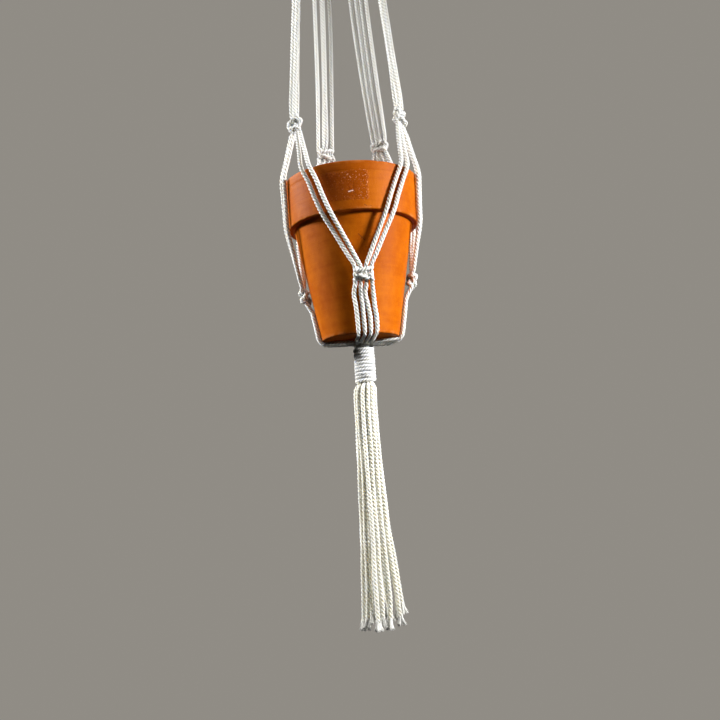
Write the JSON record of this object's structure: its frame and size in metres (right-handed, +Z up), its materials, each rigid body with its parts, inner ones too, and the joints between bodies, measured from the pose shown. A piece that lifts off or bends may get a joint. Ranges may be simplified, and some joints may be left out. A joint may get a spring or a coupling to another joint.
{
  "type": "hanging macrame planter",
  "caption": "Clay flowerpot hung in a knotted cotton cord hanger, with a ring to hang it by, four arms, square knots, two wraps and a long loose tassel.",
  "frame": {"origin": "the hang point, at the inside top of the hanging ring, where a hook carries it", "axes": "+Z up along the hanger, -Y the front, +X to the right seen from the front"},
  "size_m": [0.1236, 0.1233, 1.09],
  "materials": {
    "ring_wood": "smooth oiled beech",
    "cord": "matte three-strand twisted cotton",
    "wrap_cord": "matte three-strand twisted cotton, wound tight",
    "terracotta": "matte unglazed fired clay"
  },
  "bodies": {
    "ring": {"hanging_ring": "ring_wood"},
    "hanger": {"top_bundle": "cord", "top_wrap": "wrap_cord", "ring_loop_1": "cord", "ring_loop_2": "cord", "ring_loop_3": "cord", "ring_loop_4": "cord", "ring_loop_5": "cord", "ring_loop_6": "cord", "ring_loop_7": "cord", "ring_loop_8": "cord", "arm_front_left": "cord", "arm_front_right": "cord", "arm_back_right": "cord", "arm_back_left": "cord", "upper_knot_front_left": "cord", "upper_knot_front_right": "cord", "upper_knot_back_right": "cord", "upper_knot_back_left": "cord", "cradle_front_left_left": "cord", "cradle_front_left_right": "cord", "cradle_front_right_left": "cord", "cradle_front_right_right": "cord", "cradle_back_right_left": "cord", "cradle_back_right_right": "cord", "cradle_back_left_left": "cord", "cradle_back_left_right": "cord", "lower_knot_front": "cord", "lower_knot_right": "cord", "lower_knot_back": "cord", "lower_knot_left": "cord", "under_cords_front": "cord", "under_cords_right": "cord", "under_cords_back": "cord", "under_cords_left": "cord", "bottom_bundle": "cord", "bottom_wrap": "wrap_cord"},
    "pot": {"pot": "terracotta"},
    "tassel": {"tassel_strand_1": "cord", "tassel_strand_2": "cord", "tassel_strand_3": "cord", "tassel_strand_4": "cord", "tassel_strand_5": "cord", "tassel_strand_6": "cord", "tassel_strand_7": "cord", "tassel_strand_8": "cord", "tassel_strand_9": "cord", "tassel_strand_10": "cord", "tassel_strand_11": "cord", "tassel_strand_12": "cord", "tassel_strand_13": "cord", "tassel_strand_14": "cord", "tassel_strand_15": "cord", "tassel_strand_16": "cord"}
  },
  "joints": [
    {"name": "hanger_swing", "type": "hinge", "parent": "ring", "child": "hanger", "pos_m": [0, 0, -0.02], "axis": [0, 1, 0], "range_deg": [-45, 45]},
    {"name": "pot_turn", "type": "hinge", "parent": "hanger", "child": "pot", "pos_m": [0, 0, -0.84], "axis": [0, 0, 1], "continuous": true},
    {"name": "tassel_sway", "type": "hinge", "parent": "hanger", "child": "tassel", "pos_m": [0, 0, -0.879], "axis": [0, 1, 0], "range_deg": [-20, 20]}
  ]
}
